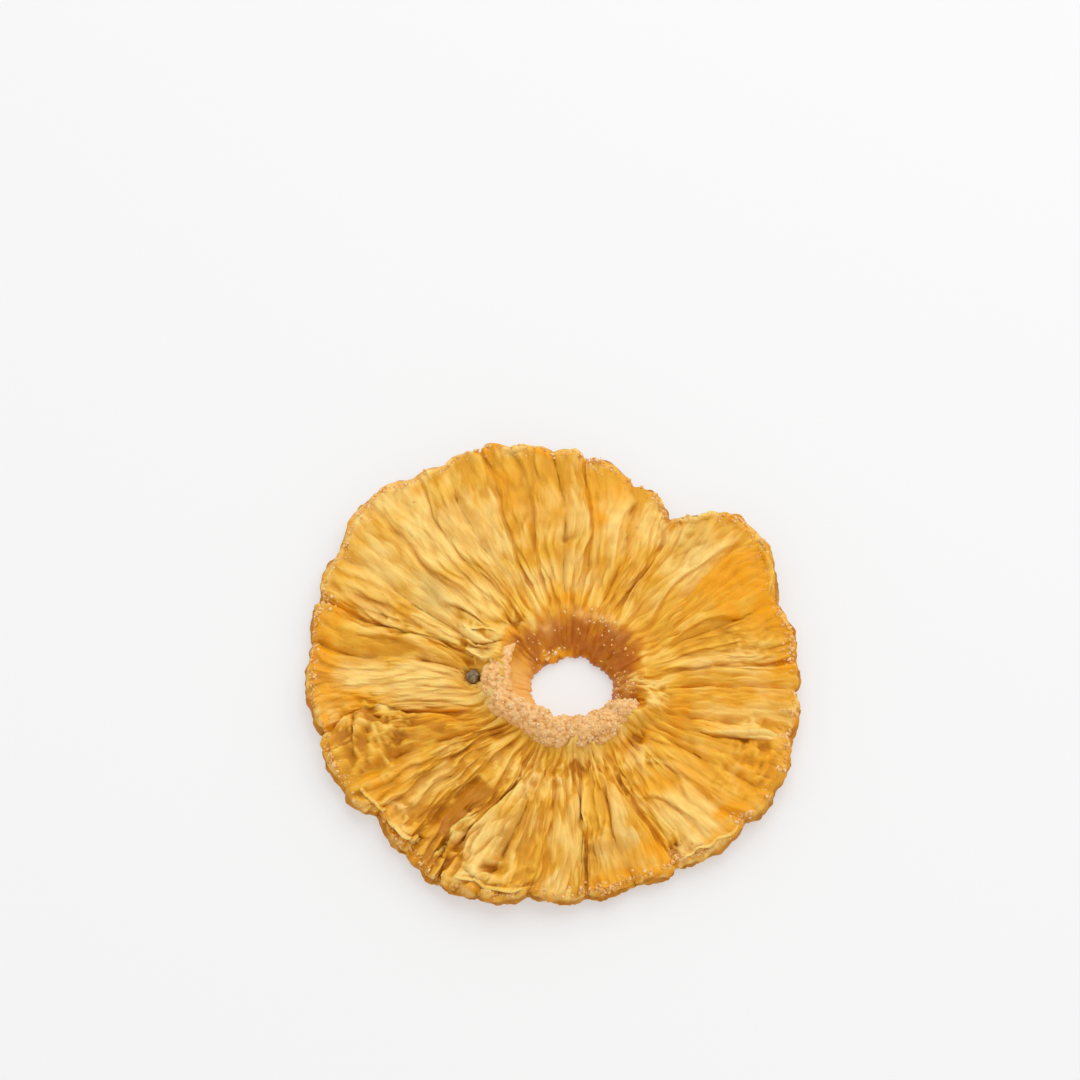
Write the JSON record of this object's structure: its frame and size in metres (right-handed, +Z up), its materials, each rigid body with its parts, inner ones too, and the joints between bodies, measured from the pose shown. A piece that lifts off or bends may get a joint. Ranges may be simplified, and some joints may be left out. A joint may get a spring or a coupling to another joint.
{
  "type": "dried pineapple ring",
  "caption": "Flat ring of dried pineapple: pleated, wavy flesh round the raised granular collar of its core, with an open hole through the middle.",
  "frame": {"origin": "middle of the ring's footprint, on the surface that it lies on", "axes": "+Z up through the ring's thickness; -Y towards the picture's camera; +X to its right"},
  "size_m": [0.0804, 0.079, 0.0074],
  "materials": {
    "dried_flesh": "dried fruit: golden, slightly translucent and leathery, glossy on the smooth folds and dull on the creases"
  },
  "bodies": {
    "root": {"pineapple_ring": "dried_flesh"}
  },
  "joints": []
}
